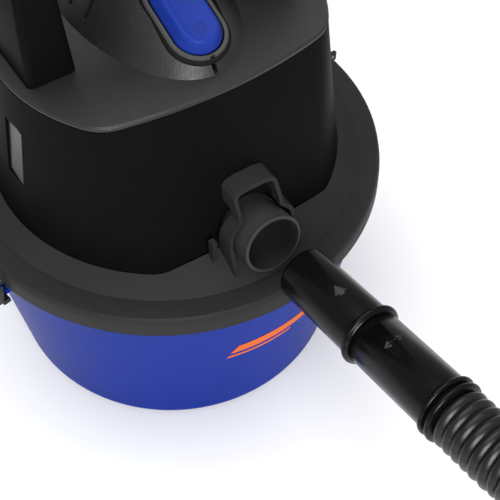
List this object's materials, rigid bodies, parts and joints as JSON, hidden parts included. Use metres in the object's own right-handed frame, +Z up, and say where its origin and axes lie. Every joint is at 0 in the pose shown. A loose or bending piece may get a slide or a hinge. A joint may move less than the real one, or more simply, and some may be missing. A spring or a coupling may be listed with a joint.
{
  "type": "shop vacuum",
  "caption": "Small wet and dry bucket vacuum with a latched power head, rocker switch, carry handle, front inlet port, rear blower port and a corrugated hose.",
  "frame": {"origin": "on the floor, in the middle of the object's box, on the tank's axis", "axes": "+Z up; the inlet port points towards -Y, the blower port towards +Y, the latches are near -X and +X, turned 9.5 degrees"},
  "size_m": [0.5645, 0.7797, 0.383],
  "materials": {
    "tank_blue": "satin",
    "black_plastic": "fine textured",
    "deck_plastic": "satin",
    "latch_plastic": "satin",
    "rocker_blue": "satin",
    "switch_plastic": "matte",
    "hose_black": "gloss",
    "hose_tube": "satin",
    "seal_rubber": "matte",
    "foam": "open cell",
    "cage_plastic": "satin",
    "float_plastic": "satin",
    "steel": "brushed",
    "aluminium": "satin",
    "laminations": "varnished",
    "copper": "satin",
    "carbon": "matte",
    "label_grey": "satin"
  },
  "bodies": {
    "tank": {"tank": "tank_blue", "hose": "hose_tube", "hose_end": "hose_black"},
    "head": {"lid": "black_plastic", "lid_gasket": "seal_rubber", "inlet_port": "black_plastic", "motor_housing": "black_plastic", "top_cover": "deck_plastic", "switch_bezel": "deck_plastic", "switch_body": "switch_plastic", "handle": "black_plastic", "handle_screws": "steel", "housing_screws": "steel", "rating_plate": "label_grey", "blower_port": "black_plastic", "cord_gland": "seal_rubber", "motor_gasket": "seal_rubber", "fan_casing": "aluminium", "diffuser": "cage_plastic", "motor_bell": "black_plastic", "bell_screws": "steel", "motor_frame": "aluminium", "stator": "laminations", "brush_holders": "copper", "carbon_brushes": "carbon", "upper_bearing": "steel", "lower_bearing": "steel", "float_cage": "cage_plastic", "cage_screws": "steel", "latch_pins": "steel"},
    "rotor": {"armature": "laminations", "commutator": "copper", "cooling_fan": "cage_plastic", "impeller": "aluminium", "impeller_nut": "steel"},
    "rocker": {"rocker": "rocker_blue"},
    "filter": {"filter_sleeve": "foam", "filter_band": "cage_plastic"},
    "float": {"float": "float_plastic"},
    "latch_left": {"latch_left": "latch_plastic"},
    "latch_right": {"latch_right": "latch_plastic"},
    "cuff": {"cuff_sleeve": "hose_black"},
    "plug": {"hose_cuff": "hose_black"}
  },
  "joints": [
    {"name": "lid_lift", "type": "slide", "parent": "tank", "child": "head", "axis": [0, 0, 1], "range_m": [0, 0.11]},
    {"name": "motor_spin", "type": "hinge", "parent": "head", "child": "rotor", "pos_m": [0, 0, 0.24], "axis": [0, 0, 1], "continuous": true},
    {"name": "switch_rock", "type": "hinge", "parent": "head", "child": "rocker", "pos_m": [0, -0.03226, 0.30298], "axis": [1, 0, 0], "range_deg": [0, 7]},
    {"name": "filter_slide", "type": "slide", "parent": "head", "child": "filter", "axis": [0, 0, -1], "range_m": [0, 0.07]},
    {"name": "float_rise", "type": "slide", "parent": "head", "child": "float", "axis": [0, 0, 1], "range_m": [0, 0.048]},
    {"name": "latch_left_swing", "type": "hinge", "parent": "head", "child": "latch_left", "pos_m": [-0.15248, -0.02552, 0.1645], "axis": [-0.165, 0.9863, 0], "range_deg": [0, 100.1]},
    {"name": "latch_right_swing", "type": "hinge", "parent": "head", "child": "latch_right", "pos_m": [0.15248, 0.02552, 0.1645], "axis": [0.165, -0.9863, 0], "range_deg": [0, 100.1]},
    {"name": "hose_plug_in", "type": "slide", "parent": "tank", "child": "cuff", "axis": [0, 0.9781, -0.2079], "range_m": [0, 0.07]},
    {"name": "cuff_twist", "type": "hinge", "parent": "cuff", "child": "plug", "pos_m": [0, -0.132, 0.196], "axis": [0, -0.9781, 0.2079], "range_deg": [0, 40]}
  ],
  "couplings": [
    {"joint": "latch_left_swing", "follows": "lid_lift", "rad_per_m": 15.88},
    {"joint": "latch_right_swing", "follows": "lid_lift", "rad_per_m": 15.88}
  ]
}
